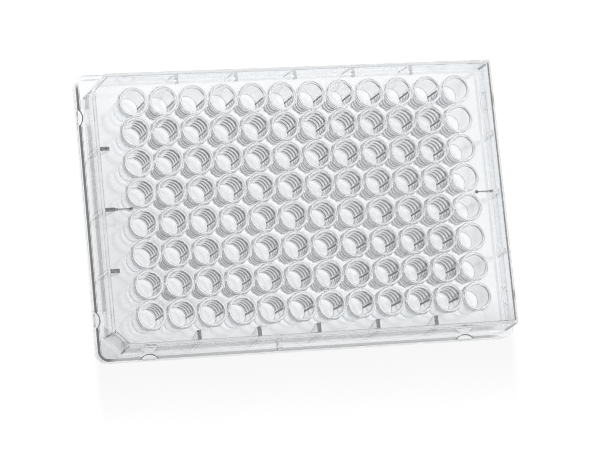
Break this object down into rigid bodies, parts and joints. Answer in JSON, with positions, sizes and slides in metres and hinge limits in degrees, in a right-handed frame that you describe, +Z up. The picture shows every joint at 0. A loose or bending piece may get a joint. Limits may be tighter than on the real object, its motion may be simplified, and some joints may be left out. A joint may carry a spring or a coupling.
{
  "type": "well plate",
  "caption": "Clear flat-bottomed well plate: a rectangular tray of open round wells in a hollow skirted body on a stepped flange, with two corners cut off.",
  "frame": {"origin": "middle of the footprint, on the surface that the flange stands on", "axes": "+X runs along the long side from the first column towards the last, +Y along the short side towards the first row, +Z up out of the wells"},
  "size_m": [0.1278, 0.0854, 0.0143],
  "materials": {
    "clear_plastic": "clear, polished mould finish"
  },
  "bodies": {
    "root": {"plate": "clear_plastic"}
  },
  "joints": []
}
